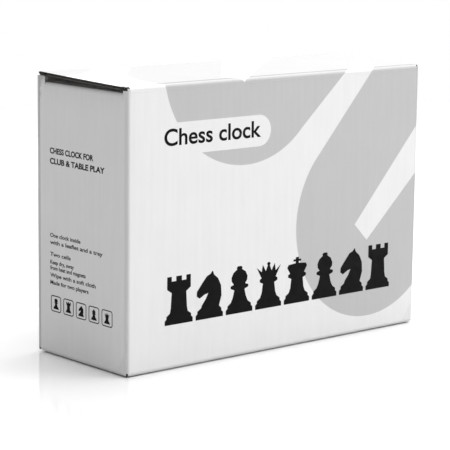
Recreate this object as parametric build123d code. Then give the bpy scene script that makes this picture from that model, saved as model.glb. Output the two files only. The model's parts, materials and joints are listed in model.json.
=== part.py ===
from build123d import *
import math
import os

# Boxed digital chess clock: a tuck-top carton of E-flute board, with the clock, its board cradle and its
# leaflet inside. Millimetres. The origin is the centre of the carton's underside, +X runs across the
# front to the right, +Y to the back and +Z up.

# ---- carton
width = 165.0
depth = 60.0
height = 117.0              # front crease of the lid
board = 1.5                 # thickness of E-flute board, and the outer radius of every crease
side_height = 115.2         # crease of the dust flaps, one board and a little below the lid
back_height = 116.8         # cut top edge of the back panel
thumb_radius = 11.0
lid_tilt = 0.8              # the closed lid springs up by this much at the back
lid_reach = 58.2            # from the front crease to the corner of the tuck crease
lid_side_gap = 0.4
tuck_length = 15.0
tuck_lean = 15.5            # how far the tuck leans forwards from upright
tuck_side_gap = 3.5
dust_length = 40.0
dust_front_start = 2.6      # clearance from the front at the crease, growing by dust_taper per mm
dust_taper = 0.47
dust_back = 25.0
glue_width = 15.0
seam = 0.6                  # between the two bottom flaps
bottom_flap_length = 38.0
bottom_flap_half = 13.0     # half width of the narrow end of a side bottom flap
bottom_rise_start = 1.5
bottom_rise_end = 14.5

# ---- cradle and leaflet
cradle_half_width = 80.7
cradle_front, cradle_back = -28.0, 26.6
cradle_height = 82.0
cradle_hem = 22.0
leaflet_width, leaflet_height, leaflet_thickness = 104.0, 96.0, 1.2
leaflet_back = 28.1

# ---- clock housing
clock_half = 76.0
clock_front, clock_split, clock_back = -25.0, -3.0, 21.5
foot_height = 1.5
clock_bottom = 3 * board + foot_height
clock_height = 90.0
clock_top = clock_bottom + clock_height
clock_corner = 8.0
wall = 2.0
clock_middle = (clock_top + clock_bottom) / 2
boss_points = [(x, z) for x in (-69.0, 69.0) for z in (clock_bottom + 7, clock_top - 7)]
boss_radius = 4.2
screw_radius, screw_clear, screw_head = 1.45, 1.7, 3.0
screw_seat = 6.0            # y of the ledge that the case screws pull on

# ---- display
display_z = 64.0
window_size = (120.0, 48.0)
view_size = (110.0, 40.0)
lcd_size = (114.0, 43.0)
lcd_thickness = 2.0
frame_wall = 2.0
window_thickness = 1.5

# ---- circuit board and keys
pcb_front, pcb_thickness = -16.0, 1.6
pcb_half = 62.0
pcb_low, pcb_high = 12.0, 90.0
standoff_points = [(x, z) for x in (-58.0, 58.0) for z in (15.5, 36.0)]
key_z = 22.0
key_x = [-44.0, -22.0, 0.0, 22.0, 44.0]
key_radius = 6.0
key_clear = 0.15
key_travel = 0.8
key_proud = 1.0
pipe_points = [(-50.0, 34.0), (50.0, 34.0)]
pipe_radius = 1.5

# ---- rocker on top
rocker_middle = -3.0        # y of its middle
rocker_half, rocker_half_depth, rocker_thickness = 66.0, 11.0, 5.0
pivot_height = 6.3          # above the top of the housing
pivot_z = clock_top + pivot_height
rocker_tilt = 2.6
axle_radius, axle_clear = 1.5, 0.05
ear_gap, ear_thickness, ear_half = 0.5, 2.5, 4.0
magnet_x, magnet_radius, magnet_height = 48.0, 2.5, 2.0

# ---- battery bay and power switch
cell_radius, cell_length, nub_radius, nub_length = 7.25, 50.5, 2.6, 1.0
tray_half, tray_low, tray_high = 31.0, 15.0, 49.0
tray_front, tray_wall = 3.0, 1.2
cell_z = (23.6, 40.4)
cell_y = 11.6
contact_thickness = 0.4
door_half, door_low, door_high, door_gap = 30.0, 9.2, 48.0, 0.15
door_screw_z = 12.0
switch_x, switch_z, switch_travel = -50.0, 30.0, 4.0

FACE, PLAN, SIDE = Plane.XZ, Plane.XY, Plane.YZ


def prism(sketch, plane, low, high):
    """A sketch drawn in one of the world's planes, filled from low to high along the axis across it."""
    start = -high if plane is FACE else low
    return extrude(plane.offset(start) * sketch, amount=high - low, dir=plane.z_dir)


def rect(x, y, across, up, radius=0.0):
    shape = RectangleRounded(across, up, radius) if radius else Rectangle(across, up)
    return Pos(x, y) * shape


def disc(x, y, radius):
    return Pos(x, y) * Circle(radius)


def box(x, y, z):
    """A block given by its (low, high) along each axis."""
    size = [high - low for low, high in (x, y, z)]
    return Pos(x[0], y[0], z[0]) * Box(*size, align=(Align.MIN,) * 3)


def group(*solids):
    """Separate solids that share one node."""
    return Compound(children=[solid for shape in solids for solid in shape.solids()])


# ---------------------------------------------------------------- carton
def strip(start, end, outward, start_fold=0.0, end_fold=0.0):
    """Cross-section of a flat panel between two creases.

    start and end are the inner corners of its creases and outward is the way its printed side faces.
    The two panels at a crease share the rounded fold half and half. A fold of 0 is a cut edge.
    """
    start, end, outward = Vector(*start), Vector(*end), Vector(*outward)
    along = (end - start).normalized()

    def rim(corner, way, fold):
        half = math.radians(fold / 2)
        tip, middle, flat = (
            corner + (outward * math.cos(a) + way * math.sin(a)) * board for a in (half, half / 2, 0)
        )
        if fold == 0:
            return [Line(corner, flat)]
        return [Line(corner, tip), ThreePointArc(tip, middle, flat)]

    edges = [Line(start, end), Line(start + outward * board, end + outward * board)]
    edges += rim(end, along, end_fold) + rim(start, along * -1, start_fold)
    return make_face(edges)


left, right = -width / 2, width / 2
front, back = -depth / 2, depth / 2
inner_left, inner_right = left + board, right - board
inner_front, inner_back = front + board, back - board


def front_panel():
    upright = strip((inner_front, board), (inner_front, height - board), (-1, 0), 90, 90)
    plan = strip((inner_left, inner_front), (inner_right, inner_front), (0, -1), 90, 90)
    return prism(upright, SIDE, left, right) & prism(plan, PLAN, 0, height)


def back_panel():
    upright = strip((inner_back, board), (inner_back, back_height), (1, 0), 90, 0)
    plan = strip((left, inner_back), (inner_right, inner_back), (0, 1), 0, 90)
    panel = prism(upright, SIDE, left, right) & prism(plan, PLAN, 0, back_height)
    return panel - prism(disc(0, back_height, thumb_radius), FACE, inner_back - 1, back + 1)


def left_panel():
    upright = strip((inner_left, board), (inner_left, side_height - board), (-1, 0), 90, 90)
    plan = strip((inner_left, inner_front), (inner_left, inner_back - board), (-1, 0), 90, 90)
    return prism(upright, FACE, front, inner_back) & prism(plan, PLAN, 0, side_height)


def right_panel():
    upright = strip((inner_right, board), (inner_right, side_height - board), (1, 0), 90, 90)
    plan = strip((inner_right, inner_front), (inner_right, inner_back), (1, 0), 90, 90)
    return prism(upright, FACE, front, back) & prism(plan, PLAN, 0, side_height)


def glue_flap():
    """Glued inside the back panel, on a crease of the left panel."""
    inner = inner_back - board
    plan = strip((inner_left, inner), (inner_left + glue_width, inner), (0, 1), 90, 0)
    flap = prism(plan, PLAN, 2 * board + 1, side_height - 3)
    low, high, far = 2 * board, side_height, inner_left + glue_width
    outline = Polygon(
        (left, low), (far, low + 10), (far, high - 14), (left, high - 4), align=None
    )
    return flap & prism(outline, FACE, inner - 1, back)


def bottom_flap(side):
    """Front (side -1) or back (side 1) bottom flap, with mitred ends."""
    fold = strip((side * inner_back, board), (side * seam / 2, board), (0, -1), 90, 0)
    corner, narrow = 80.0, 64.8
    near, shoulder = inner_back, inner_back - (corner - narrow)
    outline = Polygon(
        (-corner, side * back), (-corner, side * near), (-narrow, side * shoulder), (-narrow, 0),
        (narrow, 0), (narrow, side * shoulder), (corner, side * near), (corner, side * back), align=None,
    )
    return prism(fold, SIDE, left, right) & prism(outline, PLAN, 0, board)


def side_bottom_flap(side):
    """Left (side -1) or right (side 1) bottom flap, which steps up over the front and back ones."""
    edge, corner = side * right, side * inner_right
    rise, level = (side * (inner_right - s) for s in (bottom_rise_start, bottom_rise_end))
    end = side * (inner_right - bottom_flap_length)
    diagonal = board * math.sin(math.pi / 4)
    tip = (corner + side * diagonal, board - diagonal)
    middle = (corner + side * board * math.sin(math.pi / 8), board - board * math.cos(math.pi / 8))
    points = [(corner, board), (rise, board), (level, 2 * board), (end, 2 * board), (end, board)]
    points += [(level, board), (rise, 0), (corner, 0)]
    edges = [Line(a, b) for a, b in zip(points, points[1:])]
    edges += [ThreePointArc((corner, 0), middle, tip), Line(tip, (corner, board))]
    profile = make_face(edges)
    wide = 27.5
    narrow_at = side * (inner_right - (wide - bottom_flap_half))
    outline = Polygon(
        (edge, -wide), (corner, -wide), (narrow_at, -bottom_flap_half), (end, -bottom_flap_half),
        (end, bottom_flap_half), (narrow_at, bottom_flap_half), (corner, wide - 1.5), (edge, wide - 1.5),
        align=None,
    )
    return prism(profile, FACE, front, back) & prism(outline, PLAN, 0, 2 * board)


hinge_point = (front, height)
tuck_fold = 90 + tuck_lean
tuck_corner = (front + lid_reach, height)
tuck_inner = (tuck_corner[0] - board * math.tan(math.radians(tuck_fold / 2)), height - board)


def tilted(shape):
    """Lid pieces are drawn level and then sprung up about the front crease."""
    return shape.rotate(Axis((0, *hinge_point), (1, 0, 0)), lid_tilt)


def lid_panel():
    fold = strip((inner_front, height - board), tuck_inner, (0, 1), 90, tuck_fold)
    return tilted(prism(fold, SIDE, left + lid_side_gap, right - lid_side_gap))


def tuck_flap():
    lean = math.radians(tuck_lean)
    down = Vector(-math.sin(lean), -math.cos(lean))
    outward = (math.cos(lean), -math.sin(lean))
    tip = Vector(*tuck_inner) + down * tuck_length
    fold = strip(tuck_inner, (tip.X, tip.Y), outward, tuck_fold, 0)
    flap = prism(fold, SIDE, left + tuck_side_gap, right - tuck_side_gap)
    low = [e for e in flap.edges().filter_by(Plane.YZ) if e.center().Z < height - tuck_length + 1.5]
    return tilted(fillet(low, 9.0))


def dust_flap(side):
    crease = side * inner_right
    fold = strip((crease, side_height - board), (side * (inner_right - dust_length), side_height - board),
                 (0, 1), 90, 0)
    flap = prism(fold, FACE, front, back)
    start, end = side * right, side * (inner_right - dust_length)
    front_start = front + dust_front_start
    front_end = front_start + dust_taper * dust_length
    outline = Polygon(
        (start, front_start), (end, front_end), (end, dust_back - 2), (start, dust_back), align=None
    )
    free = outline.vertices().group_by(Axis.X)[0 if side > 0 else -1]
    return flap & prism(fillet(free, 4.0), PLAN, side_height - 2 * board, side_height + 1)


# ---------------------------------------------------------------- cradle and leaflet
def inner_cradle():
    """U of board round the clock, its ends folded back down inside as a double wall."""
    low = 2 * board
    wall_x = cradle_half_width - board
    base = box((-cradle_half_width, cradle_half_width), (cradle_front, cradle_back), (low, low + board))
    shape = base
    for side in (-1, 1):
        x = sorted((side * cradle_half_width, side * (wall_x - board)))
        upright = sorted((side * cradle_half_width, side * wall_x))
        shape += box(upright, (cradle_front, cradle_back), (low, cradle_height))
        hem = box(x, (cradle_front, cradle_back), (cradle_height - cradle_hem, cradle_height))
        shape += fillet([e for e in hem.edges().filter_by(Axis.Y) if e.center().Z > cradle_height - 1], 1.2)
    shape -= prism(disc(0, cradle_height - cradle_hem - 22, 13), SIDE, left, right)
    return shape


def leaflet():
    back_y = leaflet_back
    fold = Pos(back_y - leaflet_thickness / 2, board + leaflet_height / 2) * RectangleRounded(
        leaflet_thickness, leaflet_height, leaflet_thickness / 2 - 0.05
    )
    return prism(fold, SIDE, -leaflet_width / 2, leaflet_width / 2)


# ---------------------------------------------------------------- clock housing
def housing_outline(inset=0.0):
    across, up = 2 * (clock_half - inset), clock_height - 2 * inset
    return rect(0, clock_middle, across, up, clock_corner - inset)


def front_shell():
    shell = prism(housing_outline(), FACE, clock_front, clock_split)
    shell = fillet(shell.faces().sort_by(Axis.Y)[0].outer_wire().edges(), 3.0)
    shell -= prism(housing_outline(wall), FACE, clock_front + wall, clock_split)
    for x, z in boss_points:
        shell += prism(disc(x, z, boss_radius), FACE, clock_front + wall, clock_split)
        shell -= prism(disc(x, z, screw_radius), FACE, clock_split - 11, clock_split)
    for x, z in standoff_points:
        shell += prism(disc(x, z, 2.6), FACE, clock_front + wall, pcb_front)
        shell -= prism(disc(x, z, 1.0), FACE, pcb_front - 5, pcb_front)
    shell -= prism(rect(0, display_z, *window_size, 3), FACE, clock_front, clock_front + window_thickness)
    shell -= prism(rect(0, display_z, *view_size, 2), FACE, clock_front, clock_front + wall)
    for x in key_x:
        shell -= prism(disc(x, key_z, key_radius + key_clear), FACE, clock_front, clock_front + wall)
    for x, z in pipe_points:
        shell -= prism(disc(x, z, pipe_radius), FACE, clock_front, clock_front + wall)
    return shell


def rear_shell():
    shell = prism(housing_outline(), FACE, clock_split, clock_back)
    shell = fillet(shell.faces().sort_by(Axis.Y)[-1].outer_wire().edges(), 3.0)
    shell -= prism(housing_outline(wall), FACE, clock_split, clock_back - wall)
    for x, z in boss_points:
        shell += prism(disc(x, z, boss_radius), FACE, clock_split, clock_back - wall)
        shell -= prism(disc(x, z, screw_clear), FACE, clock_split, clock_back)
        shell -= prism(disc(x, z, screw_head + 0.2), FACE, screw_seat, clock_back)
    door_z = (door_low + door_high) / 2
    shell -= prism(rect(0, door_z, 2 * door_half, door_high - door_low), FACE, clock_back - wall, clock_back)
    shell += box((-4, 4), (12, clock_back - wall), (clock_bottom + wall - 0.5, tray_low))
    shell -= prism(disc(0, door_screw_z, 1.2), FACE, 13, clock_back)
    shell -= prism(rect(switch_x, switch_z, 9, 4), FACE, clock_back - wall, clock_back)
    for row in range(5):
        shell -= prism(rect(40, 22 + 4 * row, 16, 1.4, 0.6), FACE, clock_back - wall, clock_back)
    for x in (-6.5, 6.5):
        shell -= prism(disc(x, 3, 1.0), PLAN, clock_top - wall, clock_top)
    return shell


def screw(x, z, seat, head_radius, head_height, shank_radius, length):
    """Screw driven towards -Y: its head's underside is at seat and its end is length further in."""
    body = prism(disc(x, z, head_radius), FACE, seat, seat + head_height)
    body += prism(disc(x, z, shank_radius), FACE, seat - length, seat)
    for turn in (0, 90):
        slot = Pos(x, z) * Rot(0, 0, turn) * Rectangle(1.2 * head_radius, 0.28 * head_radius)
        body -= prism(slot, FACE, seat + 0.45 * head_height, seat + head_height)
    return body


def case_screws():
    return group(*(screw(x, z, screw_seat, screw_head, 2.2, screw_radius, 18) for x, z in boss_points))


def feet():
    return group(*(
        prism(disc(x, y, 5), PLAN, clock_bottom - foot_height, clock_bottom)
        for x in (-62, 62) for y in (-17, 13)
    ))


# ---------------------------------------------------------------- display
def lcd_window():
    plate = prism(rect(0, display_z, window_size[0] - 0.2, window_size[1] - 0.2, 2.9), FACE,
                  clock_front, clock_front + window_thickness)
    return chamfer(plate.faces().sort_by(Axis.Y)[0].outer_wire().edges(), 0.3)


lcd_front = clock_front + wall


def lcd_panel():
    glass = prism(rect(0, display_z, *lcd_size), FACE, lcd_front, lcd_front + lcd_thickness)
    ledge = prism(rect(0, display_z + lcd_size[1] / 2 - 1.5, lcd_size[0], 3), FACE, lcd_front, lcd_front + 0.9)
    return glass - ledge


def display_frame():
    outer = rect(0, display_z, lcd_size[0] + 0.4 + 2 * frame_wall, lcd_size[1] + 0.4 + 2 * frame_wall, 2)
    inner = rect(0, display_z, lcd_size[0] + 0.4, lcd_size[1] + 0.4)
    frame = prism(outer - inner, FACE, lcd_front, pcb_front)
    for side in (-1, 1):
        ledge = rect(side * (lcd_size[0] / 2 - 0.4), display_z, 1.6, lcd_size[1] + 0.4)
        frame += prism(ledge, FACE, lcd_front + lcd_thickness, pcb_front)
    return frame


def zebra_strips():
    return group(*(
        prism(rect(0, display_z + side * (lcd_size[1] / 2 - 2.4), 108, 2), FACE,
              lcd_front + lcd_thickness, pcb_front)
        for side in (-1, 1)
    ))


# ---------------------------------------------------------------- electronics and keys
def main_pcb():
    middle, tall = (pcb_low + pcb_high) / 2, pcb_high - pcb_low
    pcb = prism(rect(0, middle, 2 * pcb_half, tall, 1.5), FACE, pcb_front, pcb_front + pcb_thickness)
    for x, z in standoff_points:
        pcb -= prism(disc(x, z, 1.2), FACE, pcb_front, pcb_front + pcb_thickness)
    return pcb


pcb_back = pcb_front + pcb_thickness
switch_base = 3.2
plunger_tip = pcb_front - switch_base - 0.8


def pcb_screws():
    return group(*(screw(x, z, pcb_back, 2.0, 1.2, 1.0, 6) for x, z in standoff_points))


def tact_switches():
    bodies = []
    for x in key_x:
        body = box((x - 3, x + 3), (pcb_front - switch_base, pcb_front), (key_z - 3, key_z + 3))
        bodies.append(body + prism(disc(x, key_z, 1.7), FACE, plunger_tip, pcb_front - switch_base))
    return group(*bodies)


def function_key(x):
    """Round cap through the front wall, on a flange that stops behind it."""
    flange_front = clock_front + wall + 0.1
    cap = prism(disc(x, key_z, key_radius), FACE, clock_front - key_proud, flange_front)
    cap = fillet(cap.faces().sort_by(Axis.Y)[0].edges(), 0.7)
    cap += prism(disc(x, key_z, key_radius + 1.3), FACE, flange_front, flange_front + 1.0)
    return cap + prism(disc(x, key_z, 2), FACE, flange_front + 1.0, plunger_tip - key_travel - 0.1)


led_height = 2.5


def light_pipes():
    return group(*(
        prism(disc(x, z, pipe_radius), FACE, clock_front - 0.2, pcb_front - led_height - 0.3)
        for x, z in pipe_points
    ))


def leds():
    return group(*(
        box((x - 1.6, x + 1.6), (pcb_front - led_height, pcb_front), (z - 1.6, z + 1.6)) for x, z in pipe_points
    ))


def control_chip():
    body = box((-7, 7), (pcb_back, pcb_back + 1.6), (53, 67))
    return chamfer(body.faces().sort_by(Axis.Y)[-1].edges(), 0.3)


def buzzer():
    return prism(disc(40, 30, 7), FACE, pcb_back, pcb_back + 4.5) - prism(
        disc(40, 30, 1.2), FACE, pcb_back + 3.5, pcb_back + 4.5
    )


sensor_board_top = clock_top - wall - 0.9


def sensor_board():
    return box((-55, 55), (rocker_middle - 7, rocker_middle + 7), (sensor_board_top - 1.2, sensor_board_top))


def hall_sensors():
    return group(*(
        box((x - 2, x + 2), (rocker_middle - 1.5, rocker_middle + 1.5), (sensor_board_top, sensor_board_top + 0.8))
        for x in (-magnet_x, magnet_x)
    ))


# ---------------------------------------------------------------- rocker
ear_inner = rocker_half_depth + ear_gap


def rocker_bracket():
    base = box((-9, 9), (rocker_middle - ear_inner - ear_thickness, rocker_middle + ear_inner + ear_thickness),
               (clock_top, clock_top + 1.2))
    for side in (-1, 1):
        y = sorted((rocker_middle + side * ear_inner, rocker_middle + side * (ear_inner + ear_thickness)))
        ear = rect(0, (clock_top + pivot_z) / 2, 2 * ear_half, pivot_height) + disc(0, pivot_z, ear_half)
        base += prism(ear, FACE, *y)
    base -= prism(disc(0, pivot_z, axle_radius), FACE, clock_front, clock_back)
    for x in (-6.5, 6.5):
        base -= prism(disc(x, 3, 1.2), PLAN, clock_top, clock_top + 1.2)
    return base


def bracket_screws():
    """The ring under each head is the washer face that grips the bracket."""
    bodies = []
    for x in (-6.5, 6.5):
        head = prism(disc(x, 3, 2.0), PLAN, clock_top + 1.2, clock_top + 2.4)
        bodies.append(head + prism(disc(x, 3, 1.0), PLAN, clock_top - 4.5 + wall, clock_top + 1.2))
    return group(*bodies)


def rocker_axle():
    reach = ear_inner + ear_thickness
    return prism(disc(0, pivot_z, axle_radius), FACE, rocker_middle - reach, rocker_middle + reach)


def tipped(shape):
    """The rocker rests with its right end down."""
    return shape.rotate(Axis((0, 0, pivot_z), (0, 1, 0)), rocker_tilt)


def rocker_lever():
    bar = prism(rect(0, rocker_middle, 2 * rocker_half, 2 * rocker_half_depth, 7), PLAN,
                pivot_z - rocker_thickness / 2, pivot_z + rocker_thickness / 2)
    bar = fillet(bar.faces().sort_by(Axis.Z)[-1].edges(), 1.6)
    bar -= prism(disc(0, pivot_z, axle_radius + axle_clear), FACE, clock_front, clock_back)
    for side in (-1, 1):
        low = pivot_z - rocker_thickness / 2
        bar -= prism(disc(side * magnet_x, rocker_middle, magnet_radius), PLAN, low, low + magnet_height)
    return tipped(bar)


def rocker_magnets():
    low = pivot_z - rocker_thickness / 2
    return group(*(
        tipped(prism(disc(side * magnet_x, rocker_middle, magnet_radius), PLAN, low, low + magnet_height))
        for side in (-1, 1)
    ))


def rocker_pads():
    """Soft finger pads on the two ends."""
    top = pivot_z + rocker_thickness / 2
    pads = []
    for side in (-1, 1):
        pad = prism(rect(side * 54, rocker_middle, 18, 17, 4), PLAN, top, top + 1.2)
        pads.append(tipped(fillet(pad.faces().sort_by(Axis.Z)[-1].edges(), 0.8)))
    return group(*pads)


def rocker_stops():
    return group(*(
        prism(rect(side * 59.5, rocker_middle, 6, 14, 1), PLAN, clock_top, clock_top + 0.8) for side in (-1, 1)
    ))


# ---------------------------------------------------------------- battery bay and power switch
def battery_tray():
    y = (tray_front, clock_back - wall)
    tray = box((-tray_half, tray_half), y, (tray_low, tray_high))
    inner = (tray_low + tray_wall, tray_high - tray_wall)
    tray -= box((tray_wall - tray_half, tray_half - tray_wall), (tray_front + tray_wall, y[1]), inner)
    middle = sum(cell_z) / 2
    rib = box((-24, 24), (tray_front + tray_wall, tray_front + 5), (middle - 0.4, middle + 0.4))
    return tray + rib


bay_end = tray_half - tray_wall - contact_thickness


def battery_cells():
    cells = []
    for z, way in zip(cell_z, (1, -1)):
        nub, shoulder, tail = (
            way * x for x in (bay_end, bay_end - nub_length, bay_end - cell_length)
        )
        can = prism(disc(cell_y, z, cell_radius), SIDE, *sorted((tail, shoulder)))
        can = fillet(can.edges(), 0.6)
        cells.append(can + prism(disc(cell_y, z, nub_radius), SIDE, *sorted((shoulder, nub))))
    return group(*cells)


def battery_springs():
    """A conical coil behind each cell's flat end."""
    coils = []
    gap = 2 * bay_end - cell_length
    wire, turns = 0.35, 5
    for z, way in zip(cell_z, (-1, 1)):
        rings = []
        for turn in range(turns):
            along = way * (bay_end - wire - turn * (gap - 2 * wire) / (turns - 1))
            radius = 4.6 - 0.4 * turn
            rings.append(Pos(along, cell_y, z) * Rot(0, 90, 0) * Torus(radius, wire))
        coil = rings[0]
        for ring in rings[1:]:
            coil += ring
        stay = sorted((way * (bay_end - wire), way * (bay_end - gap + wire)))
        coils.append(coil + box(stay, (cell_y - 0.3, cell_y + 0.3), (z - 4.9, z - 2.7)))
    return group(*coils)


def battery_contacts():
    plates = []
    y = (cell_y - 5.5, cell_y + 5.5)
    outer = bay_end + contact_thickness
    plates.append(box((-outer, -bay_end), y, (cell_z[0] - 6, cell_z[1] + 6)))
    plates += [box((bay_end, outer), y, (z - 6, z + 6)) for z in cell_z]
    return group(*plates)


def battery_door():
    up, middle = door_high - door_low - 2 * door_gap, (door_low + door_high) / 2
    plate = rect(0, middle, 2 * (door_half - door_gap), up, 1)
    door = prism(plate, FACE, clock_back - wall, clock_back)
    for row in range(4):
        door -= prism(rect(0, door_high - 5 - 2.2 * row, 20, 0.9, 0.4), FACE, clock_back - 0.6, clock_back)
    door -= prism(disc(0, door_screw_z, 1.4), FACE, clock_back - wall, clock_back)
    return door - prism(disc(0, door_screw_z, 2.5), FACE, clock_back - 1.2, clock_back)


def battery_door_screw():
    return screw(0, door_screw_z, clock_back - 1.2, 2.3, 1.1, 1.2, 6.5)


def power_switch_body():
    y = (12.5, clock_back - wall)
    body = box((switch_x - 7, switch_x + 7), y, (switch_z - 3.5, switch_z + 3.5))
    return body - prism(rect(switch_x, switch_z, 9.4, 3.8), FACE, 16.5, y[1])


def power_slider():
    x = switch_x - switch_travel / 2
    knob = prism(rect(x, switch_z, 4, 3.4), FACE, 16.7, clock_back + 0.8)
    for step in (-1, 0, 1):
        knob -= prism(rect(x + 1.1 * step, switch_z, 0.4, 3.4), FACE, clock_back + 0.4, clock_back + 0.8)
    return knob


nodes = {
    "front_panel": front_panel(), "back_panel": back_panel(),
    "left_panel": left_panel(), "right_panel": right_panel(), "glue_flap": glue_flap(),
    "lid_panel": lid_panel(), "tuck_flap": tuck_flap(),
    "dust_flap_left": dust_flap(-1), "dust_flap_right": dust_flap(1),
    "bottom_flap_front": bottom_flap(-1), "bottom_flap_back": bottom_flap(1),
    "bottom_flap_left": side_bottom_flap(-1), "bottom_flap_right": side_bottom_flap(1),
    "inner_cradle": inner_cradle(), "leaflet": leaflet(),
    "clock_front_shell": front_shell(), "clock_rear_shell": rear_shell(),
    "case_screws": case_screws(), "clock_feet": feet(),
    "lcd_window": lcd_window(), "lcd_panel": lcd_panel(),
    "display_frame": display_frame(), "zebra_strips": zebra_strips(),
    "main_pcb": main_pcb(), "pcb_screws": pcb_screws(), "tact_switches": tact_switches(),
    "light_pipes": light_pipes(), "indicator_leds": leds(),
    "control_chip": control_chip(), "buzzer": buzzer(),
    "sensor_board": sensor_board(), "hall_sensors": hall_sensors(),
    "rocker_bracket": rocker_bracket(), "bracket_screws": bracket_screws(), "rocker_axle": rocker_axle(),
    "rocker_lever": rocker_lever(), "rocker_magnets": rocker_magnets(),
    "rocker_pads": rocker_pads(), "rocker_stops": rocker_stops(),
    "battery_tray": battery_tray(), "battery_cells": battery_cells(),
    "battery_springs": battery_springs(), "battery_contacts": battery_contacts(),
    "battery_door": battery_door(), "battery_door_screw": battery_door_screw(),
    "power_switch_body": power_switch_body(), "power_slider": power_slider(),
}
for number, x in enumerate(key_x, 1):
    nodes[f"function_key_{number}"] = function_key(x)

os.makedirs("parts", exist_ok=True)
for name, shape in nodes.items():
    export_step(shape, f"parts/{name}.step")
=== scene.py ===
import json
import math

import bmesh
import bpy
import numpy as np
from mathutils import Matrix, Vector


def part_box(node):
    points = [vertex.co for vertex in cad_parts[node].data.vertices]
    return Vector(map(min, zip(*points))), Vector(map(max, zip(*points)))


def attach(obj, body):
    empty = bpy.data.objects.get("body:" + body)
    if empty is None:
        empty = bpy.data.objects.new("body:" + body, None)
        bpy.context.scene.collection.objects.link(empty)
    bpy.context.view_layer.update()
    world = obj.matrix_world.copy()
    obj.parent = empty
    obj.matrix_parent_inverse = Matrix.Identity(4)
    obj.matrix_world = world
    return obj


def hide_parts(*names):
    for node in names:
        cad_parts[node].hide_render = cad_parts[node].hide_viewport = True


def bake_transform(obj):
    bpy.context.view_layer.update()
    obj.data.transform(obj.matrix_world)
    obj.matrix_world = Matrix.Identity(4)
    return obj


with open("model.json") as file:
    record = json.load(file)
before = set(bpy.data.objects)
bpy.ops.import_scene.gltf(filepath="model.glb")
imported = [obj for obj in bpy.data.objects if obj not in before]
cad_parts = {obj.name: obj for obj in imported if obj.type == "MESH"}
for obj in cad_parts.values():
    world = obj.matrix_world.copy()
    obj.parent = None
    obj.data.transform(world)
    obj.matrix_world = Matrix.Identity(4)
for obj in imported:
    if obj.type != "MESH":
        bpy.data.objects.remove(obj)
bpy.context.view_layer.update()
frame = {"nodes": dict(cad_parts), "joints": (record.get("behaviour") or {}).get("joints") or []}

# A printed tuck-top carton of corrugated board, with a digital chess clock inside. Metres throughout.
MM = 0.001
BOARD = 1.5 * MM
LINER = 0.28 * MM
FLUTE_PITCH = 3.3 * MM
FLUTE_SHEET = 0.16 * MM
INK_LIFT, INK_SUNK = 0.03 * MM, 0.06 * MM
ARC_STEPS = 5
BLANK = (1.0, 0.0)          # print shift that takes a panel clear of the pattern
TUCKED = (2.0, 0.0)         # the same for the flaps under the lid, which get painted shade along their crease

joints = {j["name"]: j for j in frame["joints"]}
LID_HINGE = Vector(joints["lid_hinge"]["pos_m"])
TUCK_HINGE = Vector(joints["tuck_crease"]["pos_m"])
LID_TILT = math.atan2(TUCK_HINGE.z - LID_HINGE.z, TUCK_HINGE.y - LID_HINGE.y)
LID_REACH = (TUCK_HINGE - LID_HINGE).length
SIDE_TOP = joints["dust_left_crease"]["pos_m"][2]
RIGHT = joints["dust_right_crease"]["pos_m"][0]
LEFT, FRONT, BACK = -RIGHT, LID_HINGE.y, -LID_HINGE.y
TOP = LID_HINGE.z
BACK_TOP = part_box("back_panel")[1].z


# ------------------------------------------------------------------ node helpers
class Nodes:
    """Short calls for building one shader or geometry tree."""

    def __init__(self, tree):
        self.tree = tree

    def add(self, kind, **settings):
        node = self.tree.nodes.new(kind)
        for key, value in settings.items():
            setattr(node, key, value)
        return node

    def feed(self, socket, value):
        if isinstance(value, bpy.types.NodeSocket):
            self.tree.links.new(value, socket)
        elif value is not None:
            socket.default_value = value

    def math(self, operation, a, b=None, c=None, clamp=False):
        node = self.add("ShaderNodeMath", operation=operation, use_clamp=clamp)
        for socket, value in zip(node.inputs, (a, b, c)):
            self.feed(socket, value)
        return node.outputs[0]

    def vector(self, operation, a, b=None, scale=None):
        node = self.add("ShaderNodeVectorMath", operation=operation)
        self.feed(node.inputs[0], a)
        self.feed(node.inputs[1], b)
        if scale is not None:
            self.feed(node.inputs["Scale"], scale)
        return node.outputs["Value" if operation in ("LENGTH", "DOT_PRODUCT") else "Vector"]

    def ramp(self, value, low, high, to_low=0.0, to_high=1.0):
        """value from low..high to to_low..to_high, held at the ends and eased between."""
        node = self.add("ShaderNodeMapRange", interpolation_type="SMOOTHSTEP")
        for socket, number in zip(node.inputs, (value, low, high, to_low, to_high)):
            self.feed(socket, number)
        return node.outputs[0]

    def noise(self, vector, scale, detail=2.0, roughness=0.5):
        node = self.add("ShaderNodeTexNoise")
        self.feed(node.inputs["Vector"], vector)
        node.inputs["Scale"].default_value = scale
        node.inputs["Detail"].default_value = detail
        node.inputs["Roughness"].default_value = roughness
        return node.outputs["Fac"]

    def mix(self, factor, a, b):
        node = self.add("ShaderNodeMix", data_type="RGBA")
        self.feed(node.inputs["Factor"], factor)
        self.feed(node.inputs["A"], a)
        self.feed(node.inputs["B"], b)
        return node.outputs["Result"]

    def group(self, tree, **values):
        node = self.add("ShaderNodeGroup", node_tree=tree)
        for name, value in values.items():
            self.feed(node.inputs[name.replace("_", " ")], value)
        return node.outputs


def shader_group(name, inputs, outputs):
    """An empty group with named float or vector sockets: (tree helper, its inputs, its output sockets)."""
    tree = bpy.data.node_groups.new(name, "ShaderNodeTree")
    for title, kind, value in inputs:
        socket = tree.interface.new_socket(title, in_out="INPUT", socket_type="NodeSocket" + kind)
        if value is not None:
            socket.default_value = value
    for title, kind in outputs:
        tree.interface.new_socket(title, in_out="OUTPUT", socket_type="NodeSocket" + kind)
    nodes = Nodes(tree)
    return tree, nodes, nodes.add("NodeGroupInput").outputs, nodes.add("NodeGroupOutput").inputs


def grey(value, warm=0.0):
    return (value * (1 + warm), value, value * (1 - warm), 1.0)


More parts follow.
